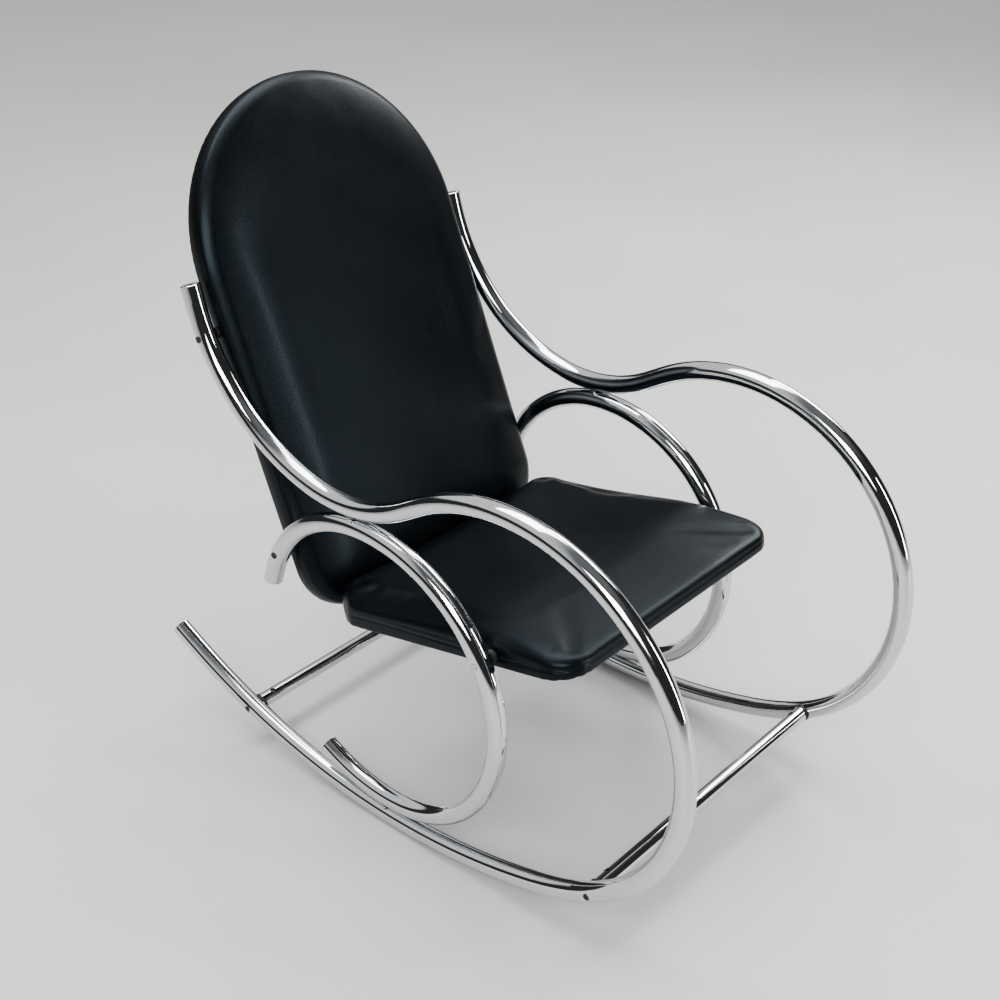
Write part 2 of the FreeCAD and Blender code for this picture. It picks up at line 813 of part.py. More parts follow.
# ---- seat pad -----------------------------------------------------------------------------


def seat_lean():
    """Tangent of the angle between the seat's rear face and its own upright."""
    return tangent(size("back_recline") - size("seat_tilt"))


def seat_foot():
    """How far back the rear face starts, at the underside of the seat."""
    return size("seat_rear") - size("seat_thickness") * seat_lean()


def draw_flat_side(sketch, front, low, high, inset):
    """Side view of a board: square at the front, leaning at the rear."""
    foot = seat_foot() - inset
    add_polygon(sketch, [(front, low), (foot + as_size(low) * seat_lean(), low),
                         (foot + as_size(high) * seat_lean(), high), (front, high)])


def draw_sheet_side(sketch, front, low, high, inset):
    """Side view of a thin sheet under the seat, square at both ends."""
    rear = seat_foot() - inset
    add_polygon(sketch, [(front, low), (rear, low), (rear, high), (front, high)])


def draw_curved_side(sketch, front, low, high, inset):
    """Side view of the seat: the top rolls down to the front in one large arc."""
    foot = seat_foot() - inset
    start = -size("waterfall_start")
    radius = size("waterfall_radius") - inset
    centre = vector(start, as_size(high) - radius)
    end_angle = math.acos((front - start).number / radius.number)
    front_top = centre + radius.number * FreeCAD.Vector(math.cos(end_angle), math.sin(end_angle), 0)
    rear_low = vector(foot + as_size(low) * seat_lean(), low)
    rear_high = vector(foot + as_size(high) * seat_lean(), high)
    circle = Part.Circle(centre, FreeCAD.Vector(0, 0, 1), radius.number)
    bottom, rear, top, roll, face = sketch.addGeometry([
        Part.LineSegment(vector(front, low), rear_low),
        Part.LineSegment(rear_low, rear_high),
        Part.LineSegment(rear_high, vector(start, high)),
        Part.ArcOfCircle(circle, math.pi / 2, end_angle),
        Part.LineSegment(front_top, vector(front, low)),
    ], False)
    sketch.addConstraint(Sketcher.Constraint("Coincident", bottom, 2, rear, 1))
    sketch.addConstraint(Sketcher.Constraint("Coincident", rear, 2, top, 1))
    sketch.addConstraint(Sketcher.Constraint("Tangent", top, 2, roll, 1))
    sketch.addConstraint(Sketcher.Constraint("Coincident", roll, 2, face, 1))
    sketch.addConstraint(Sketcher.Constraint("Coincident", face, 2, bottom, 1))
    sketch.addConstraint(Sketcher.Constraint("Horizontal", bottom))
    sketch.addConstraint(Sketcher.Constraint("Horizontal", top))
    sketch.addConstraint(Sketcher.Constraint("Vertical", face))
    dimension(sketch, "Radius", (roll,), radius)
    fix_point(sketch, bottom, 1, front, low)
    fix_point(sketch, top, 1, foot + as_size(high) * seat_lean(), high)
    dimension(sketch, "DistanceX", (-1, 1, bottom, 2), foot + as_size(low) * seat_lean())
    dimension(sketch, "DistanceX", (-1, 1, top, 2), start)


def seat_slab(doc, label, draw_side, inset, low, high, top_round=None, bottom_round=None):
    """A slab of the seat pad between two heights, with rounded corners."""
    inset = as_size(inset)
    body = new_body(doc, label, place_seat)
    side_view = new_sketch(body, f"{label}_side_view", "YZ_Plane")
    draw_side(side_view, inset - size("seat_front"), low, high, inset)
    block = pad(body, side_view, (size("seat_half_width") - inset) * 2, symmetric=True)
    front = round_edges(body, block, size("seat_front_corner") - inset,
                        lambda edge: runs_upward(edge) and edge.CenterOfMass.y < 0)
    last = round_edges(body, front, size("seat_rear_corner") - inset, is_rear_corner)
    level = as_size(high).number
    if top_round is not None:
        last = round_edges(body, last, top_round,
                           lambda edge: lies_at(edge, "Z", level) and is_side_rim(edge))
    if bottom_round is not None:
        level = as_size(low).number
        last = round_edges(body, last, bottom_round,
                           lambda edge: lies_at(edge, "Z", level) and is_side_rim(edge))
    return body


def runs_upward(edge):
    """Whether an edge stands upright in its body."""
    box = edge.BoundBox
    return box.XLength < 0.01 and box.YLength < 0.01 and box.ZLength > 0.3


def is_rear_corner(edge):
    """Whether an edge is the corner between a side and the rear face."""
    box = edge.BoundBox
    return box.XLength < 0.01 and box.YLength < box.ZLength and box.YMin > 0


def is_side_rim(edge):
    """Whether an edge runs straight along one side of the seat."""
    box = edge.BoundBox
    return box.XLength < 0.01 and box.YLength > 20


def seat_cover(doc, screw_spot):
    """The vinyl skin of the seat, wrapped under the board's edge."""
    skin = size("skin")
    outer = seat_slab(doc, "seat_cover_outside", draw_curved_side, 0, 0, size("seat_thickness"),
                      size("seat_top_round"), size("seat_bottom_round"))
    cavity = seat_slab(doc, "seat_cover_inside", draw_curved_side, skin, skin,
                       size("seat_thickness") - skin, size("seat_top_round") - skin,
                       size("seat_bottom_round") - skin)
    opening = seat_slab(doc, "seat_cover_opening", draw_sheet_side, size("wrap_width"), -skin, skin * 3)
    hole = size("screw_diameter") / 2 + size("screw_clearance")
    reach = SIZES["frame_spacing"]
    tools = doc.addObject("Part::MultiFuse", "seat_cover_cuts")
    tools.Shapes = [cavity, opening,
                    cylinder(doc, "seat_cover_side_hole", hole, reach, crosswise(-reach / 2, screw_spot))]
    return boolean(doc, "Cut", "seat_cover", outer, tools)


def plate_seat_screw_places():
    """Distances from the seat's origin line to the two plate screws, along the seat."""
    foot = seat_foot().number
    return foot - 46, foot - 66


def bevel_board_front(body, front, high):
    """Cut the board's front edge back, to let the seat roll down over it."""
    sketch = new_sketch(body, "seat_board_bevel", "YZ_Plane")
    rear = front + size("seat_bevel_length")
    add_polygon(sketch, [(front - 1, high - size("seat_bevel_height")), (rear, high),
                         (rear, high + 1), (front - 1, high + 1)])
    pocket(body, sketch)


def seat_board(doc, screw_spot):
    """Plywood board under the seat foam."""
    gap = size("fit_gap")
    low = size("skin") + gap
    inset = low + gap
    body = seat_slab(doc, "seat_board", draw_flat_side, inset, low, low + size("seat_board_thickness"),
                     bottom_round=size("seat_bottom_round") - inset)
    bevel_board_front(body, inset - size("seat_front"), low + size("seat_board_thickness"))
    local = local_spot(screw_spot, "seat_y", "seat_z", "seat_tilt")
    side_holes(body, "seat_board", [local], size("seat_half_width") - size("skin") - gap * 2,
               size("insert_length") + gap * 2)
    pilots = new_sketch(body, "seat_board_pilots", "XY_Plane")
    for side in (-1, 1):
        for place in plate_seat_screw_places():
            add_circle(pilots, wood_screw_hole(), size("plate_x") * side, place)
    pocket(body, pilots, size("wood_screw_length"), reversed_way=True)
    return body


def seat_foam(doc):
    gap = size("fit_gap")
    inset = size("skin") + gap
    low = size("skin") + gap * 2 + size("seat_board_thickness")
    return seat_slab(doc, "seat_foam", draw_curved_side, inset, low, size("seat_thickness") - inset,
                     size("seat_top_round") - inset)


def seat_cloth(doc):
    """Dust cloth stapled under the seat."""
    gap = size("fit_gap")
    body = seat_slab(doc, "seat_dust_cloth", draw_sheet_side, size("seat_cloth_inset"),
                     -(gap + size("seat_cloth_thickness")), -gap)
    holes = new_sketch(body, "seat_cloth_holes", "XY_Plane")
    for side in (-1, 1):
        for place in plate_seat_screw_places():
            add_circle(holes, wood_screw_hole(), size("plate_x") * side, place)
    pocket(body, holes)
    return body


def seat_staples(doc):
    """Staple crowns along both side edges of the dust cloth."""
    body = new_body(doc, "seat_staples", place_seat)
    below = size("fit_gap") + size("seat_cloth_thickness") + size("spacer_clearance")
    level = -(below + size("staple_wire"))
    edge = size("seat_half_width") - size("seat_cloth_inset") - 6
    half_wire = size("staple_wire") / 2
    half = size("staple_width") / 2
    first = -size("seat_front") + 75
    made = []
    for side in (-1, 1):
        name = f"staple_crown_{side_name(side)}"
        sketch = new_sketch(body, name, "XY_Plane", (0, 0, level))
        near, far = edge * side - half_wire, edge * side + half_wire
        add_polygon(sketch, [(near, first - half), (far, first - half),
                             (far, first + half), (near, first + half)])
        made.append(pad(body, sketch, size("staple_wire")))
    body.Document.recompute()
    row = body.newObject("PartDesign::LinearPattern", "staple_row")
    row.Originals = made
    row.Direction = (origin_axis(body, "Y_Axis"), [""])
    row.Occurrences = 6
    bind(row, "Length", size("staple_pitch") * 5)
    body.Tip = row
    return body


def origin_axis(body, role):
    return next(item for item in body.Origin.OriginFeatures if item.Role == role)


# ---- plates under the seat ----------------------------------------------------------------


def wood_screw_hole():
    return size("wood_screw_diameter") / 2 + size("screw_clearance")


def seat_point(along, up):
    """A point of the seat pad's own frame as (y, z) of the chair."""
    angle = math.radians(SIZES["seat_tilt"])
    return (SIZES["seat_y"] + along * math.cos(angle) + up * math.sin(angle),
            SIZES["seat_z"] - along * math.sin(angle) + up * math.cos(angle))


def back_point(behind, up):
    """A point of the back pad's own frame as (y, z) of the chair."""
    angle = math.radians(SIZES["back_recline"])
    return (SIZES["back_y"] + behind * math.cos(angle) + up * math.sin(angle),
            SIZES["back_z"] - behind * math.sin(angle) + up * math.cos(angle))


def crossing(first, first_angle, second, second_angle):
    """Where two lines, each through a point at an angle in degrees, cross."""
    a, b = math.radians(first_angle), math.radians(second_angle)
    gap_y, gap_z = second[0] - first[0], second[1] - first[1]
    reach = (gap_y * math.sin(b) - gap_z * math.cos(b)) / math.sin(b - a)
    return first[0] + reach * math.cos(a), first[1] + reach * math.sin(a)


def plate_outline():
    """Side view of a joining plate: flat under the seat, then bent down under the back."""
    gap, thick = SIZES["plate_gap"], SIZES["plate_thickness"]
    foot = plate_seat_screw_places()[0] + 46
    levels = []
    for depth in (gap, gap + thick):
        under_seat = seat_point(foot - SIZES["plate_seat_leg"], -depth)
        under_back = back_point(SIZES["plate_back_leg"] - SIZES["back_thickness"], -depth)
        bend = crossing(under_seat, -SIZES["seat_tilt"], under_back, -SIZES["back_recline"])
        levels.append((under_seat, bend, under_back))
    upper, lower = levels
    return [*upper, *reversed(lower)]


def joining_plates(doc, seat_spots, back_spot):
    body = new_body(doc, "joining_plates")
    across = size("plate_x")
    side_view = new_sketch(body, "plate_side_view", "YZ_Plane", (0, 0, across))
    add_polygon(side_view, plate_outline())
    made = [pad(body, side_view, size("plate_width"), symmetric=True)]
    for number, spot in enumerate([*seat_spots, back_spot], start=1):
        hole = new_sketch(body, f"plate_hole_{number}", "XY_Plane", (0, spot.y, spot.z), spot.heading - 90)
        add_circle(hole, wood_screw_hole(), across)
        made.append(pocket(body, hole, 20, symmetric=True))
    mirror_across(body, made)
    return body


def plate_screws(doc, spots):
    """Pan-head wood screws, each driven along its spot's heading from below the plate."""
    body = new_body(doc, "plate_screws")
    shank = size("wood_screw_diameter") / 2
    head = size("wood_screw_head") / 2
    under = -(size("plate_gap") + size("plate_thickness") + size("spacer_clearance"))
    bottom = under - size("wood_screw_head_height")
    tip = under + size("wood_screw_length")
    outline = [(None, bottom), (head * 0.6, bottom), (head, under - size("wood_screw_head_height") / 2),
               (head, under), (shank, under), (shank, tip - shank * 2), (None, tip)]
    made = [turned_along(body, f"plate_screw_{number}", size("plate_x"), spot, outline)
            for number, spot in enumerate(spots, start=1)]
    mirror_across(body, made)
    return body


# ---- the chair ----------------------------------------------------------------------------


def nearest_contact(upper_part):
    """The spot midway between the arm tube and the loop tube where they come closest."""
    arm_total = sum(bend_length(bend) for bend in ARM_BENDS)
    loop_total = sum(bend_length(bend) for bend in LOOP_BENDS)
    arm_range = (0, arm_total / 2) if upper_part else (arm_total / 2, arm_total)
    loop_range = (0, loop_total / 2) if upper_part else (loop_total / 2, loop_total)
    steps = 400

    def spots(start, bends, limits):
        low, high = limits
        return [spot_along(start, bends, low + (high - low) * i / steps) for i in range(steps + 1)]

    pairs = ((math.hypot(a.y - b.y, a.z - b.z), a, b)
             for a in spots(ARM_START, ARM_BENDS, arm_range)
             for b in spots(LOOP_START, LOOP_BENDS, loop_range))
    _, arm, loop = min(pairs, key=lambda pair: pair[0])
    return Spot((arm.y + loop.y) / 2, (arm.z + loop.z) / 2, arm.heading)


def facing_out(spot, way):
    """The spot of a tube end with its heading pointing out of the tube."""
    return spot if way > 0 else Spot(spot.y, spot.z, spot.heading + 180)


def tube_ends():
    arm_end = spot_along(ARM_START, ARM_BENDS, sum(bend_length(bend) for bend in ARM_BENDS))
    loop_end = spot_along(LOOP_START, LOOP_BENDS, sum(bend_length(bend) for bend in LOOP_BENDS))
    return [facing_out(ARM_START, -1), facing_out(arm_end, 1), facing_out(LOOP_START, -1),
            facing_out(loop_end, 1)]


def on_arm(alias):
    return spot_along(ARM_START, ARM_BENDS, SIZES[alias])


def on_loop(alias):
    return spot_along(LOOP_START, LOOP_BENDS, SIZES[alias])


def build_chair(doc):
    """Make every piece and return the objects to be written, in order."""
    upper_screw = on_arm("upper_screw_along")
    front_bolt = on_arm("front_bolt_along")
    rear_bolt = on_arm("rear_bolt_along")
    lower_screw = on_loop("lower_screw_along")
    seat_screw = on_loop("seat_screw_along")
    bolts = [front_bolt, rear_bolt]
    back_screws = [upper_screw, lower_screw]
    arm_holes = [upper_screw, *bolts]
    loop_holes = [lower_screw, seat_screw]

    seat_normal = 90 - SIZES["seat_tilt"]
    seat_plate_spots = [Spot(*seat_point(place, 0), seat_normal) for place in plate_seat_screw_places()]
    board_middle = SIZES["skin"] + SIZES["fit_gap"] + SIZES["back_board_thickness"] / 2
    back_plate_spot = Spot(*back_point(-board_middle, 0), 90 - SIZES["back_recline"])

    frame_inner = (size("frame_spacing") - size("tube_diameter")) / 2
    head_seat = (size("frame_spacing") + size("tube_diameter")) / 2 - size("head_recess")
    slack = size("spacer_clearance")
    back_edge = size("back_half_width")
    seat_edge = size("seat_half_width")
    edge_inset = size("skin") + size("fit_gap") * 3
    shank = size("screw_diameter") / 2 + slack
    insert = size("insert_diameter") / 2
    insert_length = size("insert_length")

    return [
        bent_tube(doc, "left_arm_runner_tube", "arm", ARM_START, ARM_BENDS, 1, arm_holes),
        bent_tube(doc, "right_arm_runner_tube", "arm", ARM_START, ARM_BENDS, -1, arm_holes),
        bent_tube(doc, "left_inner_loop_tube", "loop", LOOP_START, LOOP_BENDS, 1, loop_holes),
        bent_tube(doc, "right_inner_loop_tube", "loop", LOOP_START, LOOP_BENDS, -1, loop_holes),
        end_plugs(doc, tube_ends()),
        joint_beads(doc, [nearest_contact(True), nearest_contact(False)]),
        stretcher(doc, "front_stretcher", front_bolt),
        stretcher(doc, "rear_stretcher", rear_bolt),
        saddle_washers(doc, bolts),
        screw_group(doc, "stretcher_bolts", bolts, dowel_across() - 8, head_seat, size("bolt_head_height")),
        barrel_nuts(doc, bolts),
        back_board(doc, back_screws, back_plate_spot),
        back_foam(doc),
        back_cover(doc, back_screws, back_plate_spot),
        back_panel(doc),
        screw_group(doc, "back_screws", back_screws, back_edge - insert_length, head_seat,
                    size("head_height")),
        ring_group(doc, "back_spacers", back_screws, back_edge + slack, frame_inner - slack, shank,
                   size("back_spacer_diameter") / 2),
        ring_group(doc, "back_inserts", back_screws, back_edge - edge_inset - insert_length,
                   back_edge - edge_inset, shank, insert),
        seat_board(doc, seat_screw),
        seat_foam(doc),
        seat_cover(doc, seat_screw),
        seat_cloth(doc),
        seat_staples(doc),
        screw_group(doc, "seat_screws", [seat_screw], seat_edge - insert_length, head_seat,
                    size("head_height")),
        ring_group(doc, "seat_bushes", [seat_screw], seat_edge + slack, frame_inner - slack, shank,
                   size("seat_bush_diameter") / 2),
        ring_group(doc, "seat_inserts", [seat_screw], seat_edge - edge_inset - insert_length,
                   seat_edge - edge_inset, shank, insert),
        joining_plates(doc, seat_plate_spots, back_plate_spot),
        plate_screws(doc, [*seat_plate_spots, back_plate_spot]),
    ]


def check(doc, pieces):
    """Stop if anything in the document failed or a piece has no sound shape."""
    failed = [item.Name for item in doc.Objects if "Invalid" in item.State or "Error" in item.State]
    if failed:
        raise RuntimeError(f"failed: {failed}")
    for piece in pieces:
        if piece.Shape.isNull() or not piece.Shape.isValid() or not piece.Shape.Solids:
            raise RuntimeError(f"{piece.Label} has no sound shape")


def main():
    doc = FreeCAD.newDocument("RockingChair")
    fill_sheet(doc)
    pieces = build_chair(doc)
    doc.recompute()
    check(doc, pieces)
    os.makedirs("parts", exist_ok=True)
    for piece in pieces:
        piece.Shape.exportStep(f"parts/{piece.Label}.step")
        print(piece.Label, len(piece.Shape.Solids), round(piece.Shape.Volume))


main()
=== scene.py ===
"""Looks of the bent-tube rocking chair: chrome, vinyl pads, fittings, floor, light and camera."""

import json
import math

import bpy
import numpy as np
from mathutils import Matrix, Vector, kdtree


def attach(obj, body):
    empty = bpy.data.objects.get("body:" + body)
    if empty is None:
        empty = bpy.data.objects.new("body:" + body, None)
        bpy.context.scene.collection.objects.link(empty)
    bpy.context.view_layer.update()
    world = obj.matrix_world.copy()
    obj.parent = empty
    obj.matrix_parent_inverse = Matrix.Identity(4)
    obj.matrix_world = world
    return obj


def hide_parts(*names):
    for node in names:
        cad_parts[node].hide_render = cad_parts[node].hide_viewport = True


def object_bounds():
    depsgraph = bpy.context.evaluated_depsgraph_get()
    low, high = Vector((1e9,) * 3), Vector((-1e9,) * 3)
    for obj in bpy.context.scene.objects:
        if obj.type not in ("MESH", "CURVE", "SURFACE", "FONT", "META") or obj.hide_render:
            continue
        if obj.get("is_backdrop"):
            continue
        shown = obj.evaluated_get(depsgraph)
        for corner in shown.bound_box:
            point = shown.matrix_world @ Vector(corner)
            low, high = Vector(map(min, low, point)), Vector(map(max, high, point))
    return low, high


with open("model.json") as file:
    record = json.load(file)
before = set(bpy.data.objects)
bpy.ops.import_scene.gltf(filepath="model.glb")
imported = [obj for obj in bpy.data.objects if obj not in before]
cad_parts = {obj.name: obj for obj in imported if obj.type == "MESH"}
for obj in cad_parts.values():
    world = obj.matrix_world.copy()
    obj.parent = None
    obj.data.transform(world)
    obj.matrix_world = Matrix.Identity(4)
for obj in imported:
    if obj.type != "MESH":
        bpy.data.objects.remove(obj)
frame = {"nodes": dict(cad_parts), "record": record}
CAD_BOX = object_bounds()
NODES = frame["nodes"]
MM = 0.001

# Pads, in millimetres in their own frames: x across, u or v along the pad, w out of the pad.
BACK_RECLINE = math.radians(22.8)
BACK_HALF, BACK_LENGTH, BACK_THICK, BACK_CORNER = 216.0, 668.0, 46.0, 70.0
SEAT_TILT = math.radians(12.3)
SEAT_HALF, SEAT_FRONT, SEAT_REAR, SEAT_THICK = 214.0, 234.0, 154.4, 46.5
SEAT_FRONT_CORNER, SEAT_REAR_CORNER = 42.0, 38.0
CORNER_STEPS = 14


class PadFrame:
    """Turns a pad's own coordinates in millimetres into the chair's in metres, and back."""

    def __init__(self, place, slope):
        self.place = np.array(place)
        self.along = np.array([math.cos(slope), math.sin(slope)])
        self.out = np.array([-math.sin(slope), math.cos(slope)])

    def to_world(self, local):
        side = self.place + local[:, 1:2] * self.along + local[:, 2:3] * self.out
        return np.column_stack([local[:, 0], side]) * MM

    def from_world(self, world):
        side = world[:, 1:] / MM - self.place
        return np.column_stack([world[:, 0] / MM, side @ self.along, side @ self.out])


BACK_FRAME = PadFrame((175.52, 233.54), math.pi / 2 - BACK_RECLINE)
SEAT_FRAME = PadFrame((-19.44, 283.58), -SEAT_TILT)


# ---- material helpers ---------------------------------------------------------------------


def connect(tree, value, socket):
    """Link another node's output to a socket, or set the socket to a plain value."""
    if isinstance(value, bpy.types.NodeSocket):
        tree.links.new(value, socket)
    else:
        socket.default_value = value


def ramp_node(tree, value, low, high, low_value=0.0, high_value=1.0):
    """A smooth step from one value to another as the input goes from low to high."""
    node = tree.nodes.new("ShaderNodeMapRange")
    node.interpolation_type = "SMOOTHSTEP"
    connect(tree, value, node.inputs["Value"])
    limits = {"From Min": low, "From Max": high, "To Min": low_value, "To Max": high_value}
    for name, number in limits.items():
        node.inputs[name].default_value = number
    return node.outputs["Result"]


def maths_node(tree, kind, a, b=0.0):
    node = tree.nodes.new("ShaderNodeMath")
    node.operation = kind
    connect(tree, a, node.inputs[0])
    connect(tree, b, node.inputs[1])
    return node.outputs[0]


class Nodes:
    """Short names for building one material's node tree."""

    def __init__(self, name):
        self.material = bpy.data.materials.new(name)
        self.material.use_nodes = True
        self.tree = self.material.node_tree
        self.bsdf = self.tree.nodes["Principled BSDF"]
        self.coords = self.tree.nodes.new("ShaderNodeTexCoord").outputs["Object"]

    def surface(self, **values):
        for name, value in values.items():
            connect(self.tree, value, self.bsdf.inputs[name.replace("_", " ")])

    def noise(self, scale, detail=4.0, roughness=0.5, stretch=(1, 1, 1), distortion=0.0):
        node = self.tree.nodes.new("ShaderNodeTexNoise")
        connect(self.tree, self.stretched(stretch), node.inputs["Vector"])
        node.inputs["Scale"].default_value = scale
        node.inputs["Detail"].default_value = detail
        node.inputs["Roughness"].default_value = roughness
        node.inputs["Distortion"].default_value = distortion
        return node.outputs["Fac"]

    def cells(self, scale, feature="F1", output="Distance", stretch=(1, 1, 1)):
        node = self.tree.nodes.new("ShaderNodeTexVoronoi")
        node.feature = feature
        connect(self.tree, self.stretched(stretch), node.inputs["Vector"])
        node.inputs["Scale"].default_value = scale
        return node.outputs[output]

    def stretched(self, stretch):
        if tuple(stretch) == (1, 1, 1):
            return self.coords
        node = self.tree.nodes.new("ShaderNodeMapping")
        connect(self.tree, self.coords, node.inputs["Vector"])
        node.inputs["Scale"].default_value = stretch
        return node.outputs["Vector"]

    def ramp(self, value, low, high, low_value=0.0, high_value=1.0):
        return ramp_node(self.tree, value, low, high, low_value, high_value)

    def maths(self, kind, a, b=0.0):
        return maths_node(self.tree, kind, a, b)

    def blend(self, factor, a, b):
        node = self.tree.nodes.new("ShaderNodeMix")
        node.data_type = "RGBA"
        connect(self.tree, factor, node.inputs["Factor"])
        for index, colour in ((6, a), (7, b)):
            if not isinstance(colour, bpy.types.NodeSocket):
                colour = (*colour, 1.0)
            connect(self.tree, colour, node.inputs[index])
        return node.outputs[2]

    def bump(self, height, strength, distance, normal=None):
        node = self.tree.nodes.new("ShaderNodeBump")
        connect(self.tree, height, node.inputs["Height"])
        node.inputs["Strength"].default_value = strength
        node.inputs["Distance"].default_value = distance
        if normal is not None:
            connect(self.tree, normal, node.inputs["Normal"])
        return node.outputs["Normal"]


def chrome(name, tint, haze, pits):
    """Bright plating over polished steel, with hazy patches, fine rubbing marks and rust pits."""
    n = Nodes(name)
    haze_patch = n.ramp(n.noise(9.0, 5.0, 0.6), 0.38, 0.72, 0.0, 1.0)
    rubbing = n.noise(260.0, 3.0, 0.6, (1.0, 0.08, 0.08))
    pit_spread = n.ramp(n.noise(14.0, 2.0), 0.5, 0.66)
    pit = n.maths("MULTIPLY", n.ramp(n.cells(230.0), 0.11, 0.05), pit_spread)
    pit = n.maths("MULTIPLY", pit, pits)
    colour = n.blend(haze_patch, tint, tuple(c * 0.93 for c in tint))
    n.surface(
        Base_Color=n.blend(pit, colour, (0.10, 0.065, 0.045)),
        Metallic=n.ramp(pit, 0.3, 0.9, 1.0, 0.2),
        Roughness=n.maths("ADD", n.ramp(haze_patch, 0.0, 1.0, haze, haze * 2.4),
                          n.maths("MULTIPLY", pit, 0.5)),
        Normal=n.bump(n.maths("SUBTRACT", n.maths("MULTIPLY", rubbing, 0.12), pit), 0.25, 0.0002),
    )
    return n.material


def vinyl(name, tint):
    """Upholstery vinyl: pressed leather grain, a satin film, and faint dusty scuffs."""
    n = Nodes(name)
    warp = n.noise(60.0, 3.0, 0.5)
    pebble = n.cells(620.0, "SMOOTH_F1")
    crease = n.cells(430.0, "DISTANCE_TO_EDGE")
    grain = n.maths("ADD", n.maths("MULTIPLY", n.ramp(crease, 0.0, 0.16), 0.7),
                    n.maths("MULTIPLY", pebble, 0.5))
    soft = n.noise(34.0, 5.0, 0.55)
    patch = n.ramp(n.noise(5.5, 4.0, 0.6), 0.42, 0.74)
    scuff = n.maths("MULTIPLY", n.ramp(n.noise(150.0, 6.0, 0.7, (1.0, 0.35, 0.35)), 0.58, 0.78),
                    n.ramp(n.noise(11.0, 2.0), 0.58, 0.72))
    colour = n.blend(patch, tint, tuple(c * 1.25 + 0.0004 for c in tint))
    colour = n.blend(n.maths("MULTIPLY", scuff, 0.12), colour, (0.12, 0.125, 0.13))
    rough = n.maths("ADD", n.ramp(patch, 0.0, 1.0, 0.29, 0.33), n.maths("MULTIPLY", warp, 0.08))
    normal = n.bump(soft, 0.10, 0.0010)
    n.surface(
        Base_Color=colour,
        Roughness=n.maths("ADD", rough, n.maths("MULTIPLY", scuff, 0.10)),
        Specular_IOR_Level=0.22,
        Specular_Tint=(0.68, 0.88, 1.0, 1.0),
        Coat_Weight=0.03,
        Coat_Roughness=0.18,
        Normal=n.bump(grain, 0.42, 0.00022, normal),
    )
    return n.material


def painted_steel(name, tint, shine):
    """Blackened or zinc-dull steel with rubbed edges and faint mottling."""
    n = Nodes(name)
    mottle = n.noise(420.0, 4.0, 0.6)
    wear = n.ramp(n.noise(900.0, 3.0, 0.7), 0.60, 0.74)
    colour = n.blend(mottle, tint, tuple(c * 1.35 for c in tint))
    n.surface(
        Base_Color=n.blend(n.maths("MULTIPLY", wear, 0.5), colour, (0.42, 0.41, 0.40)),
        Metallic=n.ramp(wear, 0.0, 1.0, shine, 1.0),
        Roughness=n.ramp(mottle, 0.2, 0.8, 0.30, 0.52),
        Normal=n.bump(mottle, 0.2, 0.0001),
    )
    return n.material


def rubber(name):
    n = Nodes(name)
    speck = n.noise(900.0, 4.0, 0.6)
    n.surface(
        Base_Color=n.blend(speck, (0.012, 0.012, 0.012), (0.035, 0.034, 0.033)),
        Roughness=n.ramp(speck, 0.3, 0.7, 0.55, 0.75),
        Normal=n.bump(speck, 0.3, 0.0002),
    )
    return n.material


def plywood(name):
    """Pale veneer, with long grain across and dark glue lines."""
    n = Nodes(name)
    grain = n.noise(40.0, 6.0, 0.6, (0.25, 6.0, 6.0), 1.5)
    layers = n.ramp(n.noise(300.0, 1.0, 0.4, (0.02, 0.3, 2.0)), 0.45, 0.55)
    colour = n.blend(grain, (0.60, 0.43, 0.25), (0.38, 0.24, 0.12))
    n.surface(
        Base_Color=n.blend(n.maths("MULTIPLY", layers, 0.25), colour, (0.24, 0.15, 0.08)),
        Roughness=n.ramp(grain, 0.3, 0.7, 0.55, 0.72),
        Normal=n.bump(grain, 0.2, 0.0004),
    )
    return n.material


def woven(name, tint):
    """Thin non-woven cloth with a fine thread pattern."""
    n = Nodes(name)
    thread_a = n.noise(2200.0, 1.0, 0.4, (1.0, 0.05, 0.05))
    thread_b = n.noise(2200.0, 1.0, 0.4, (0.05, 1.0, 1.0))
    weave = n.maths("MAXIMUM", thread_a, thread_b)
    n.surface(
        Base_Color=n.blend(weave, tint, tuple(c * 2.6 + 0.01 for c in tint)),
        Roughness=0.9,
        Sheen_Weight=0.3,
        Normal=n.bump(weave, 0.5, 0.0003),
    )
    return n.material


def foam(name):
    n = Nodes(name)
    pores = n.cells(700.0)
    n.surface(
        Base_Color=n.blend(pores, (0.55, 0.42, 0.20), (0.78, 0.66, 0.38)),
        Roughness=0.95,
        Normal=n.bump(pores, 0.6, 0.0006),
    )
    return n.material


def floor_paint(name):
    """Pale, faintly mottled studio floor."""
    n = Nodes(name)
    cloud = n.noise(1.3, 6.0, 0.6)
    speck = n.ramp(n.noise(170.0, 3.0, 0.7), 0.60, 0.78)
    colour = n.blend(cloud, (0.43, 0.425, 0.415), (0.50, 0.495, 0.485))
    n.surface(
        Base_Color=n.blend(n.maths("MULTIPLY", speck, 0.25), colour, (0.30, 0.285, 0.265)),
        Roughness=n.ramp(cloud, 0.3, 0.7, 0.55, 0.70),
        Normal=n.bump(n.noise(60.0, 5.0, 0.6), 0.15, 0.002),
    )
    return n.material


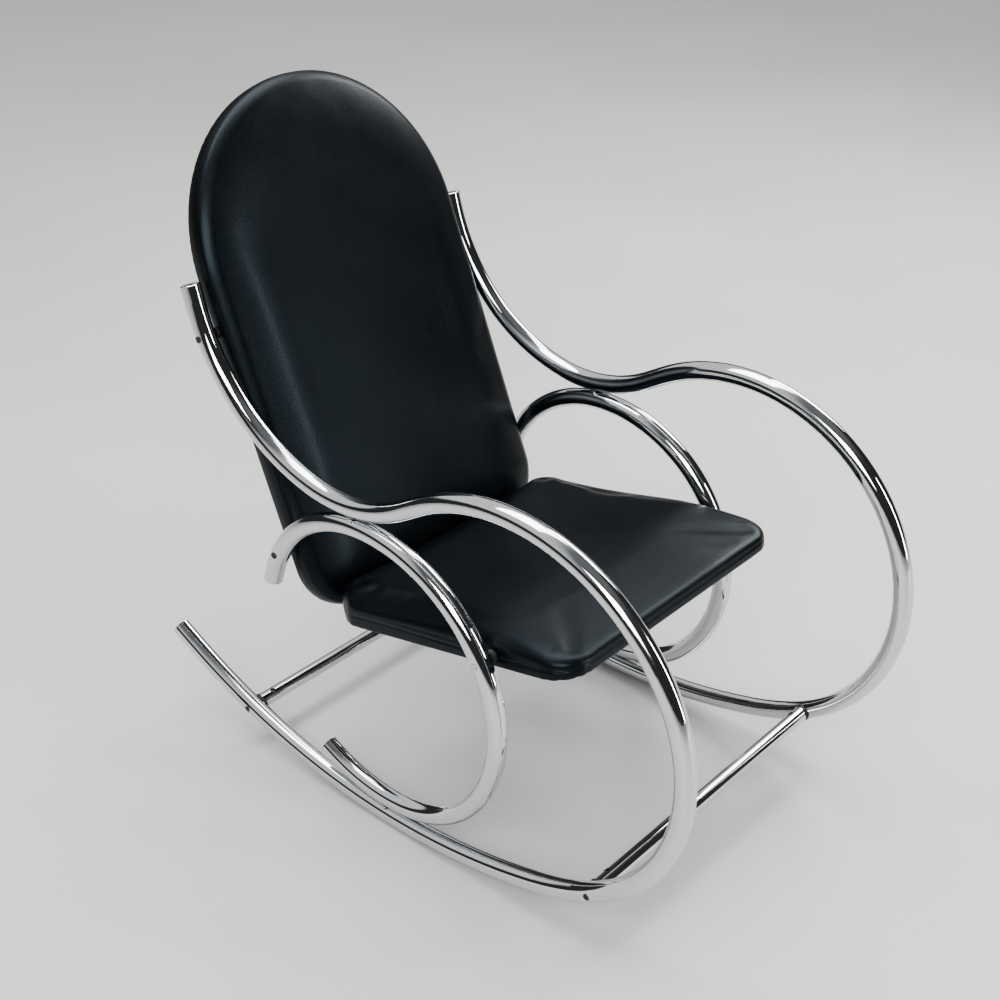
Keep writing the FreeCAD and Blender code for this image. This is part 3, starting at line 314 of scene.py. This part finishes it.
MATERIALS = {
    "chromed_tube": chrome("chromed_tube", (0.66, 0.67, 0.685), 0.05, 1.0),
    "chromed_fittings": chrome("chromed_fittings", (0.62, 0.625, 0.63), 0.09, 0.8),
    "blackened_steel": painted_steel("blackened_steel", (0.035, 0.034, 0.033), 0.6),
    "bright_screws": painted_steel("bright_screws", (0.55, 0.54, 0.51), 1.0),
    "zinc_steel": painted_steel("zinc_steel", (0.42, 0.42, 0.40), 1.0),
    "black_vinyl": vinyl("black_vinyl", (0.0026, 0.0031, 0.0041)),
    "rear_panel_vinyl": vinyl("rear_panel_vinyl", (0.010, 0.0105, 0.012)),
    "plywood": plywood("plywood"),
    "upholstery_foam": foam("upholstery_foam"),
    "dust_cloth": woven("dust_cloth", (0.012, 0.012, 0.012)),
    "black_rubber": rubber("black_rubber"),
}


def dress_cad_nodes():
    for part in frame["record"]["subparts"]:
        node = NODES[part["node"]]
        for slot in node.material_slots:
            slot.material = MATERIALS[part["material_slot"]]


# ---- pad outlines and rings ---------------------------------------------------------------


def arc_points(centre, radius, start, end, count):
    """Points and outward normals along an arc, without its last point. Angles in degrees."""
    angles = np.radians(np.linspace(start, end, count, endpoint=False))
    normal = np.stack([np.cos(angles), np.sin(angles)], 1)
    return np.asarray(centre) + radius * normal, normal


def line_points(begin, end, normal, count):
    share = np.linspace(0, 1, count, endpoint=False)[:, None]
    points = np.asarray(begin) * (1 - share) + np.asarray(end) * share
    return points, np.repeat([normal], count, 0).astype(float)


def joined(parts):
    return np.concatenate([p for p, _ in parts]), np.concatenate([n for _, n in parts])


def seat_outline(across, along):
    """Seat plan, anticlockwise from the middle of the left rear corner, in four equal-ended sides."""
    wide, ahead, behind = SEAT_HALF, SEAT_FRONT, SEAT_REAR
    near, far = SEAT_FRONT_CORNER, SEAT_REAR_CORNER
    bend = CORNER_STEPS
    rear_right, rear_left = (wide - far, behind - far), (far - wide, behind - far)
    front_left, front_right = (near - wide, near - ahead), (wide - near, near - ahead)
    return joined([
        arc_points(rear_left, far, 135, 180, bend),
        line_points((-wide, behind - far), (-wide, near - ahead), (-1, 0), along - 2 * bend),
        arc_points(front_left, near, 180, 225, bend),
        arc_points(front_left, near, 225, 270, bend),
        line_points((near - wide, -ahead), (wide - near, -ahead), (0, -1), across - 2 * bend),
        arc_points(front_right, near, 270, 315, bend),
        arc_points(front_right, near, 315, 360, bend),
        line_points((wide, near - ahead), (wide, behind - far), (1, 0), along - 2 * bend),
        arc_points(rear_right, far, 0, 45, bend),
        arc_points(rear_right, far, 45, 90, bend),
        line_points((wide - far, behind), (far - wide, behind), (0, 1), across - 2 * bend),
        arc_points(rear_left, far, 90, 135, bend),
    ])


def back_outline(across, along, inset=0.0):
    """Back outline, anticlockwise from high on the left, in four equal-ended sides."""
    wide, high, corner = BACK_HALF - inset, BACK_LENGTH - inset, BACK_CORNER - inset
    shoulder = high - wide
    bend, top_half = CORNER_STEPS, 44
    low_left, low_right = (corner - wide, inset + corner), (wide - corner, inset + corner)
    return joined([
        arc_points((0, shoulder), wide, 135, 180, top_half),
        line_points((-wide, shoulder), (-wide, inset + corner), (-1, 0), along - top_half - bend),
        arc_points(low_left, corner, 180, 225, bend),
        arc_points(low_left, corner, 225, 270, bend),
        line_points((corner - wide, inset), (wide - corner, inset), (0, -1), across - 2 * bend),
        arc_points(low_right, corner, 270, 315, bend),
        arc_points(low_right, corner, 315, 360, bend),
        line_points((wide, inset + corner), (wide, shoulder), (1, 0), along - top_half - bend),
        arc_points((0, shoulder), wide, 0, 45, top_half),
        arc_points((0, shoulder), wide, 45, 135, across),
    ])


def patch_inside(ring, across, along):
    """Interior points of a Coons patch stretched over a closed ring, row by row."""
    left = ring[0:along + 1]
    front = ring[along:along + across + 1]
    right = ring[along + across:2 * along + across + 1][::-1]
    rear = np.concatenate([ring[2 * along + across:], ring[:1]])[::-1]
    s = np.linspace(0, 1, across + 1)[None, :, None]
    t = np.linspace(0, 1, along + 1)[:, None, None]
    edges = (1 - t) * rear[None] + t * front[None] + (1 - s) * left[:, None] + s * right[:, None]
    corners = ((1 - s) * (1 - t) * rear[0] + s * (1 - t) * rear[-1]
               + (1 - s) * t * front[0] + s * t * front[-1])
    return (edges - corners)[1:-1, 1:-1]


def patch_index(ring_start, inside_start, across, along):
    """Grid of vertex numbers covering a ring and the points inside it."""
    total = 2 * (across + along)
    grid = np.zeros((along + 1, across + 1), int)
    grid[:, 0] = ring_start + np.arange(along + 1)
    grid[-1, :] = ring_start + along + np.arange(across + 1)
    grid[:, -1] = (ring_start + along + across + np.arange(along + 1))[::-1]
    grid[0, :] = (ring_start + (2 * along + across + np.arange(across + 1)) % total)[::-1]
    inside = np.arange((along - 1) * (across - 1)).reshape(along - 1, across - 1)
    grid[1:-1, 1:-1] = inside_start + inside
    return grid


def pad_mesh(rings, across, along, cap_height):
    """Points and outward faces of a closed mesh: a stack of rings, capped at both ends by patches."""
    count = len(rings[0])
    points = [np.asarray(ring, float) for ring in rings]
    faces = []
    for level in range(len(rings) - 1):
        base = level * count
        for i in range(count):
            j = (i + 1) % count
            faces.append((base + i, base + j, base + count + j, base + count + i))
    start = len(rings) * count
    for ring_number, flip in ((0, True), (len(rings) - 1, False)):
        inside = patch_inside(points[ring_number], across, along).reshape(-1, 3)
        inside[:, 2] = cap_height(inside, ring_number == 0)
        points.append(inside)
        grid = patch_index(ring_number * count, start, across, along)
        for row in range(along):
            for column in range(across):
                face = (grid[row, column], grid[row + 1, column],
                        grid[row + 1, column + 1], grid[row, column + 1])
                faces.append(tuple(int(v) for v in (face[::-1] if flip else face)))
        start += len(inside)
    climbing = rings[-1][:, 2].mean() > rings[0][:, 2].mean()
    return np.concatenate(points), faces if climbing else [face[::-1] for face in faces]


def make_object(name, points, faces, material):
    mesh = bpy.data.meshes.new(name)
    mesh.from_pydata([tuple(p) for p in points], [], faces)
    mesh.update()
    mesh.polygons.foreach_set("use_smooth", [True] * len(mesh.polygons))
    mesh.materials.append(material)
    obj = bpy.data.objects.new(name, mesh)
    bpy.context.scene.collection.objects.link(obj)
    return obj


def smooth(value, low, high):
    """Nothing below low, one above high, and a smooth step between them."""
    share = np.clip((value - low) / (high - low), 0, 1)
    return share * share * (3 - 2 * share)


# ---- soft simulation ----------------------------------------------------------------------

CLOTH_MESH = 0.0055
CLOTH_FRAMES = 20


def cloth_copy(name, points, faces):
    """An evenly meshed copy of a pad, for the cloth simulation."""
    source = make_object(f"{name}_start", points, faces, MATERIALS["black_vinyl"])
    remesh = source.modifiers.new("remesh", "REMESH")
    remesh.mode = "VOXEL"
    remesh.voxel_size = CLOTH_MESH
    depsgraph = bpy.context.evaluated_depsgraph_get()
    mesh = bpy.data.meshes.new_from_object(source.evaluated_get(depsgraph))
    bpy.data.objects.remove(source, do_unlink=True)
    copy = bpy.data.objects.new(f"{name}_cloth", mesh)
    bpy.context.scene.collection.objects.link(copy)
    return copy


def hold(copy, held):
    """Pin each point of the copy by its share."""
    group = copy.vertex_groups.new(name="pinned")
    for index in np.nonzero(held > 0.02)[0]:
        group.add([int(index)], float(held[index]), "REPLACE")


def puff(copy, pressure):
    """Where the copy's points end up when the cloth is blown up by air inside."""
    cloth = copy.modifiers.new("cloth", "CLOTH")
    settings = cloth.settings
    settings.quality = 6
    settings.mass = 0.4
    settings.tension_stiffness = 60
    settings.compression_stiffness = 40
    settings.shear_stiffness = 25
    settings.bending_stiffness = 6
    settings.use_pressure = True
    settings.uniform_pressure_force = pressure
    settings.effector_weights.gravity = 0
    settings.vertex_group_mass = "pinned"
    cloth.collision_settings.use_self_collision = False
    cloth.point_cache.frame_start = 1
    cloth.point_cache.frame_end = CLOTH_FRAMES
    for step in range(1, CLOTH_FRAMES + 1):
        bpy.context.scene.frame_set(step)
    depsgraph = bpy.context.evaluated_depsgraph_get()
    puffed = np.array([v.co for v in copy.evaluated_get(depsgraph).to_mesh().vertices])
    bpy.context.scene.frame_set(1)
    return puffed


def averaged(start, moved, points, spread):
    """The moves near each point, weighted by nearness."""
    tree = kdtree.KDTree(len(start))
    for index, place in enumerate(start):
        tree.insert(place, index)
    tree.balance()
    shift = np.zeros_like(points)
    for index, place in enumerate(points):
        near = tree.find_range(place, spread) or [tree.find(place)]
        weights = np.array([math.exp(-(2 * distance / spread) ** 2) for _, _, distance in near])
        shift[index] = (moved[[found for _, found, _ in near]] * weights[:, None]).sum(0) / weights.sum()
    return shift


def settle(name, points, faces, pad_frame, free, pressure, cap, spread):
    """A pad's points after cloth pressure, which is let go between the two heights in free.

    The simulated moves are held under cap and averaged over spread, both in metres.
    """
    copy = cloth_copy(name, points, faces)
    start = np.array([v.co for v in copy.data.vertices])
    hold(copy, 1 - smooth(pad_frame.from_world(start)[:, 2], *free))
    moved = puff(copy, pressure) - start
    bpy.data.objects.remove(copy, do_unlink=True)
    length = np.linalg.norm(moved, axis=1, keepdims=True)
    moved = moved * np.minimum(1, cap / np.maximum(length, 1e-9))
    return points + averaged(start, moved, points, spread)


# ---- folds --------------------------------------------------------------------------------


def around(outline):
    """Distance along a closed outline at each of its points, in millimetres."""
    steps = np.linalg.norm(np.roll(outline, -1, axis=0) - outline, axis=1)
    return np.concatenate([[0.0], np.cumsum(steps)[:-1]])


def bent_parts(normal):
    """One where the outline is curved, nothing where it is straight, fading between."""
    turn = np.linalg.norm(np.roll(normal, -1, axis=0) - np.roll(normal, 1, axis=0), axis=1)
    bent = (turn > 1e-4).astype(float)
    for _ in range(3):
        bent = (np.roll(bent, 1) + bent + np.roll(bent, -1)) / 3
    return bent


def gathers(outline, normal, pitch):
    """Narrow pleats where the cover is pulled round a curve: nothing to one."""
    run = around(outline)
    wander = 1.4 * np.sin(run / 23) + 0.9 * np.sin(run / 9.1)
    wave = 0.5 + 0.5 * np.sin(run * 2 * math.pi / pitch + wander)
    strength = 0.65 + 0.35 * np.sin(run / 19 + 0.7)
    return wave ** 3 * strength * bent_parts(normal)


# ---- back pad -----------------------------------------------------------------------------

CROWN_REACH = 95.0
CROWN_DROP = 13.0


def build_back():
    across, along = 96, 124
    outline, normal = back_outline(across, along)
    pleats = gathers(outline, normal, 13.0)
    rings = []

    def add(inset, w, pleat=0.0):
        flat = outline - normal * np.reshape(inset + pleat * pleats, (-1, 1))
        rings.append(np.column_stack([flat, np.broadcast_to(w, len(flat))]))

    for inset, pleat in ((40.0, 0.0), (28.0, 0.3), (20.0, 0.7), (12.0, 1.0)):
        add(inset, 0.3 + pleat * pleats)
    for turn in np.radians(np.linspace(0, 90, 7)):
        raised = 0.8 * pleats * math.cos(turn)
        add(8 - 7.2 * math.sin(turn), 8 - 7.7 * math.cos(turn) + raised, 0.3)
    for w in (11.0, 14.0, 17.0, 20.0, 23.0):
        bow = math.sin(math.pi * (w - 8) / 18)
        add(0.8 - 0.8 * bow, w, 0.15 * (24 - w) / 16)
    for turn in np.radians(np.linspace(0, 90, 19)):
        inset = 0.8 + 15 * (1 - math.cos(turn))
        add(inset, 26 + (crown_height(inset) - 26) * math.sin(turn))
    for inset in (21.0, 27.0, 34.0, 42.0, 50.0, 57.0, 63.0):
        add(inset, crown_height(inset))

    def cap_height(points, rear):
        return 0.3 if rear else crown_height(edge_distance(points[:, 0], points[:, 1]))

    points, faces = pad_mesh(rings, across, along, cap_height)
    points[:, 2] += back_face_shape(points)
    world = settle("back", BACK_FRAME.to_world(points), faces, BACK_FRAME, free=(24.0, 38.0),
                   pressure=0.8, cap=0.002, spread=0.030)
    pad = make_object("back_cushion", world, faces, MATERIALS["black_vinyl"])
    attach(pad, "root")
    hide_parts("back_cover", "back_foam")


def edge_distance(x, u):
    """Distance in from the back pad's outline."""
    centre_u = BACK_LENGTH - BACK_HALF
    reach = np.where(u > centre_u, np.hypot(x, u - centre_u), np.abs(x))
    from_side, from_foot = BACK_CORNER - BACK_HALF + reach, BACK_CORNER - u
    corner = (from_side > 0) & (from_foot > 0)
    straight = np.minimum(BACK_HALF - reach, u)
    return np.where(corner, BACK_CORNER - np.hypot(from_side, from_foot), straight)


def crown_height(distance):
    """Height of the front face, which falls away gently towards the outline."""
    fall = np.clip(1 - np.asarray(distance, float) / CROWN_REACH, 0, 1)
    return BACK_THICK + 1.0 - CROWN_DROP * fall ** 3


def back_face_shape(points):
    """Slight waviness and hollow of the front face, fading to nothing at its edge."""
    x, u, w = points.T
    front = smooth(w, BACK_THICK - 12, BACK_THICK - 4)
    inside = smooth(edge_distance(x, u), 24, 100)
    hollow = -1.6 * inside * np.exp(-((u - 330) / 230) ** 2)
    waves = 0.45 * np.sin(x / 41 + u / 67) * np.sin(u / 53 - 0.6) * inside
    return front * (hollow + waves)


def build_rear_panel():
    across, along = 96, 124
    inset = 14.0
    outline, normal = back_outline(across, along, inset)
    rings = []

    def add(inset, w):
        rings.append(np.column_stack([outline - normal * inset, np.full(len(outline), w)]))

    for gap in (30.0, 12.0, 0.8):
        add(gap, -0.2)
    for turn in np.radians(np.linspace(0, 90, 6)):
        add(1.6 * (1 - math.cos(turn)), -0.9 - 1.5 * math.sin(turn))
    for gap in (4.0, 9.0, 16.0, 26.0, 38.0):
        add(gap, -2.4 - 1.6 * (1 - math.exp(-gap / 14)))

    def cap_height(points, first):
        return -0.2 if first else -4.0 + 0.25 * np.sin(points[:, 0] / 47) * np.sin(points[:, 1] / 61)

    points, faces = pad_mesh(rings, across, along, cap_height)
    world = BACK_FRAME.to_world(points)
    panel = make_object("back_panel_cover", world, faces, MATERIALS["rear_panel_vinyl"])
    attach(panel, "root")
    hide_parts("back_rear_panel")


# ---- seat pad -----------------------------------------------------------------------------


def seat_top(x, v):
    """Height of the seat's upper surface over its underside."""
    roll = 21.0 * (np.clip(-72 - v, 0, None) / 162) ** 2.2
    dish = 7.5 * np.exp(-(x / 150) ** 4 - ((v - 10) / 115) ** 2)
    shoulder = 3.5 * smooth(v, 30, 135) * smooth(np.abs(x), 60, 190)
    droop = 1.0 * smooth(-v, 110, 215) * smooth(np.abs(x), 120, 200)
    return SEAT_THICK - 1.5 - roll - dish + shoulder - droop


def side_creases(run_v, side, w):
    """Two long shallow creases along each side of the seat, as depth in millimetres."""
    reach = smooth(run_v, -190, -130) * (1 - smooth(run_v, 95, 145)) * side
    low = np.exp(-((w - 15.5 - 1.8 * np.sin(run_v / 60)) / 1.5) ** 2)
    high = np.exp(-((w - 21.0 - 2.2 * np.sin(run_v / 85 + 1.0)) / 1.8) ** 2)
    return (1.1 * low + 0.9 * high * (1 - smooth(run_v, 0, 80))) * reach


def build_seat():
    across, along = 100, 92
    outline, normal = seat_outline(across, along)
    rings = []
    lean = math.tan(BACK_RECLINE - SEAT_TILT)
    rearward = np.clip(normal[:, 1], 0, 1)
    forward = smooth(-normal[:, 1], 0.2, 1.0)
    sideways = smooth(np.abs(normal[:, 0]), 0.9, 1.0)
    pleats = gathers(outline, normal, 15.0)
    seamed = smooth(-outline[:, 1], 40, 170)

    def add(inset, w, pleat=0.0):
        w = np.broadcast_to(w, len(outline))
        inset = inset + pleat * pleats + side_creases(outline[:, 1], sideways, w)
        flat = outline - normal * np.reshape(inset, (-1, 1))
        flat = flat + np.column_stack([np.zeros(len(flat)), w * lean * rearward])
        rings.append(np.column_stack([flat, w]))

    for inset, pleat in ((34.0, 0.0), (26.0, 0.5), (16.0, 1.0), (10.0, 1.0)):
        add(inset, 0.3 + pleat * pleats)
    for turn in np.radians(np.linspace(0, 90, 6)):
        raised = 0.9 * pleats * math.cos(turn)
        add(4.0 - 3.9 * math.sin(turn), 4.3 - 4.0 * math.cos(turn) + raised, 0.5)
    seam = ((0.0, 7.5, 0.6), (0.1, 9.8, 0.7), (0.4, 11.2, 0.5), (1.4, 11.8, 0.2),
            (0.4, 12.3, 0.2), (-0.6, 12.9, 0.2), (-0.6, 13.5, 0.2), (-0.2, 14.1, 0.4))
    for inset, w, pleat in seam:
        add(inset * seamed, w, pleat)
    roll = 24 - 7 * forward
    seam_top = 14.5
    for share in np.linspace(0.0, 1.0, 26) ** 1.5:
        turn = share * math.pi / 2
        inset = roll * (1 - math.cos(turn)) - 0.1
        place = outline - normal * inset[:, None]
        top = seat_top(place[:, 0], place[:, 1])
        side_power = math.sin(turn) ** 0.70
        add(inset, seam_top + (top - seam_top) * side_power, 0.45 * (1 - share) ** 3)
    for share in (0.35, 0.7, 1.0):
        inset = roll + (34.5 - roll) * share
        place = outline - normal * inset[:, None]
        add(inset, seat_top(place[:, 0], place[:, 1]))

    def cap_height(points, bottom):
        return 0.3 if bottom else seat_top(points[:, 0], points[:, 1])

    points, faces = pad_mesh(rings, across, along, cap_height)
    world = settle("seat", SEAT_FRAME.to_world(points), faces, SEAT_FRAME, free=(14.0, 30.0),
                   pressure=3.0, cap=0.003, spread=0.010)
    pad = make_object("seat_cushion", world, faces, MATERIALS["black_vinyl"])
    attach(pad, "root")
    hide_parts("seat_cover", "seat_foam")


# ---- stage --------------------------------------------------------------------------------


def build_stage():
    mesh = bpy.data.meshes.new("studio_floor")
    half = 14.0
    corners = [(-half, -half, 0), (half, -half, 0), (half, half, 0), (-half, half, 0)]
    mesh.from_pydata(corners, [], [(0, 1, 2, 3)])
    mesh.materials.append(floor_paint("studio_floor"))
    floor = bpy.data.objects.new("studio_floor", mesh)
    bpy.context.scene.collection.objects.link(floor)
    floor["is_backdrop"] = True


def area_light(name, place, target, size, power, colour=(1, 1, 1)):
    data = bpy.data.lights.new(name, "AREA")
    data.shape = "RECTANGLE"
    data.size, data.size_y = size
    data.energy = power
    data.color = colour
    light = bpy.data.objects.new(name, data)
    light.location = place
    light.rotation_euler = (Vector(target) - Vector(place)).to_track_quat("-Z", "Y").to_euler()
    bpy.context.scene.collection.objects.link(light)


def even_light():
    """A very soft light from above that reaches the whole floor and leaves no reflection."""
    data = bpy.data.lights.new("even_light", "SUN")
    data.energy = 1.25
    data.angle = math.radians(70)
    light = bpy.data.objects.new("even_light", data)
    light.rotation_euler = (math.radians(12), math.radians(-8), 0)
    light.visible_glossy = False
    bpy.context.scene.collection.objects.link(light)


def build_world():
    """A room that is bright overhead and high behind the chair, and dim low down and in front."""
    world = bpy.data.worlds.new("studio")
    bpy.context.scene.world = world
    world.use_nodes = True
    tree = world.node_tree
    coords = tree.nodes.new("ShaderNodeTexCoord").outputs["Generated"]
    split = tree.nodes.new("ShaderNodeSeparateXYZ")
    tree.links.new(coords, split.inputs[0])
    behind = ramp_node(tree, split.outputs["Y"], -0.25, 0.35)
    raised = ramp_node(tree, split.outputs["Z"], 0.27, 0.43)
    overhead = ramp_node(tree, split.outputs["Z"], 0.60, 0.95, 0.0, 0.30)
    bright = maths_node(tree, "MAXIMUM", maths_node(tree, "MULTIPLY", behind, raised), overhead)
    background = tree.nodes["Background"]
    camera_ray = tree.nodes.new("ShaderNodeLightPath").outputs["Is Camera Ray"]
    seen = ramp_node(tree, camera_ray, 0.0, 1.0, 0.0, 0.55)
    room = ramp_node(tree, bright, 0.0, 1.0, 0.035, 0.60)
    strength = maths_node(tree, "MAXIMUM", room, seen)
    tree.links.new(strength, background.inputs["Strength"])
    background.inputs["Color"].default_value = (0.97, 0.985, 1.0, 1.0)


def build_light():
    """Soft boxes to the left, right and above, and a tall narrow one in front on the right."""
    daylight, warm = (0.97, 0.985, 1.0), (1.0, 0.985, 0.96)
    area_light("window_left", (-2.5, -1.5, 2.4), (0, 0, 0.4), (1.7, 1.7), 72, daylight)
    area_light("window_right", (2.7, 0.1, 2.3), (0, 0, 0.4), (1.5, 1.5), 50, warm)
    area_light("window_front", (1.10, -2.55, 1.15), (-0.15, 0.3, 0.6), (0.30, 1.9), 26, daylight)
    area_light("ceiling", (0.2, 0.9, 3.1), (0, 0, 0.3), (3.0, 1.3), 60)
    even_light()
    build_world()
    view = bpy.context.scene.view_settings
    view.view_transform = "AgX"
    view.look = "AgX - Medium High Contrast"
    view.exposure = 0.40


def build_camera():
    """Three-quarter view from the front, on the sitter's right, looking down."""
    azimuth, elevation, roll = (math.radians(a) for a in (-49.410, 29.639, 0.784))
    back = Vector((math.sin(azimuth) * math.cos(elevation), -math.cos(azimuth) * math.cos(elevation),
                   math.sin(elevation)))
    right = Vector((math.cos(azimuth), math.sin(azimuth), 0))
    up = back.cross(right)
    turned_right = math.cos(roll) * right + math.sin(roll) * up
    turned_up = math.cos(roll) * up - math.sin(roll) * right
    data = bpy.data.cameras.new("camera")
    data.sensor_width = 36.0
    data.lens = 57.408
    data.clip_start, data.clip_end = 0.05, 60
    camera = bpy.data.objects.new("camera", data)
    place = Matrix((turned_right, turned_up, back)).transposed().to_4x4()
    place.translation = Vector((-1.3595, -1.12392, 1.39321))
    camera.matrix_world = place
    bpy.context.scene.collection.objects.link(camera)
    bpy.context.scene.camera = camera


dress_cad_nodes()
build_back()
build_rear_panel()
build_seat()
build_stage()
build_light()
build_camera()
boxes = {"cad": CAD_BOX, "visual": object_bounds()}
{name: [list(corner) for corner in box] for name, box in boxes.items()}
